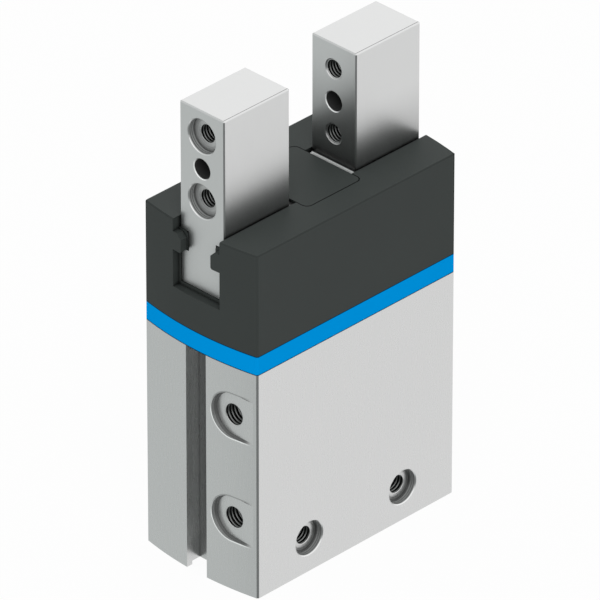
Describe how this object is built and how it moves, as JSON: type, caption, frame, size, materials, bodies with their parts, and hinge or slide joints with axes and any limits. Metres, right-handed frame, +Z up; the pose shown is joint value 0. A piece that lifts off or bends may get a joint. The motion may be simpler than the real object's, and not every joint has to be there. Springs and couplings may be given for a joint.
{
  "type": "pneumatic parallel gripper",
  "caption": "Two-jaw parallel gripper with a double-acting air cylinder, lever drive, T-slot jaw guide, supply ports and sensor grooves.",
  "frame": {"origin": "centre of the body's underside", "axes": "X along the jaws' travel, -Y out of the wide face with the mounting holes, +Z up towards the jaw tips"},
  "size_m": [0.0554, 0.0292, 0.0991],
  "materials": {
    "anodised_body": "satin",
    "blue_band": "satin",
    "dark_head": "matt",
    "jaw_steel": "fine ground",
    "steel": "turned",
    "black_screw": "blackened",
    "bronze": "turned",
    "seal_rubber": "matt",
    "guide_plastic": "matt",
    "magnet": "matt"
  },
  "bodies": {
    "housing": {"body_housing": "anodised_body", "colour_band": "blue_band", "bearing_plate": "anodised_body", "guide_head": "dark_head", "cover_plate": "dark_head", "lever_pins": "steel", "rod_bush": "bronze", "rod_seal": "seal_rubber", "bush_oring": "seal_rubber", "end_cap": "anodised_body", "end_cap_oring": "seal_rubber", "retaining_ring": "steel", "head_screws": "black_screw", "dowel_pins": "steel"},
    "jaw_left": {"jaw_left": "jaw_steel"},
    "jaw_right": {"jaw_right": "jaw_steel"},
    "lever_left": {"lever_left": "steel"},
    "lever_right": {"lever_right": "steel"},
    "piston_unit": {"piston_rod": "steel", "piston": "anodised_body", "piston_disc": "steel", "piston_magnet": "magnet", "piston_screw": "black_screw", "piston_seals": "seal_rubber", "piston_guide_ring": "guide_plastic"}
  },
  "joints": [
    {"name": "jaw_left_slide", "type": "slide", "parent": "housing", "child": "jaw_left", "axis": [-1, 0, 0], "range_m": [0, 0.0065]},
    {"name": "jaw_right_slide", "type": "slide", "parent": "housing", "child": "jaw_right", "axis": [1, 0, 0], "range_m": [0, 0.0065]},
    {"name": "lever_left_pivot", "type": "hinge", "parent": "housing", "child": "lever_left", "pos_m": [-0.01, 0, 0.0548], "axis": [0, -1, 0], "range_deg": [0, 44.5]},
    {"name": "lever_right_pivot", "type": "hinge", "parent": "housing", "child": "lever_right", "pos_m": [0.01, 0, 0.0548], "axis": [0, 1, 0], "range_deg": [0, 44.5]},
    {"name": "piston_slide", "type": "slide", "parent": "housing", "child": "piston_unit", "axis": [0, 0, 1], "range_m": [0, 0.0045]}
  ],
  "couplings": [
    {"joint": "jaw_right_slide", "follows": "jaw_left_slide", "ratio": 1},
    {"joint": "lever_left_pivot", "follows": "jaw_left_slide", "rad_per_m": 118.15},
    {"joint": "lever_right_pivot", "follows": "jaw_left_slide", "rad_per_m": 118.15},
    {"joint": "piston_slide", "follows": "jaw_left_slide", "ratio": 0.69158}
  ]
}
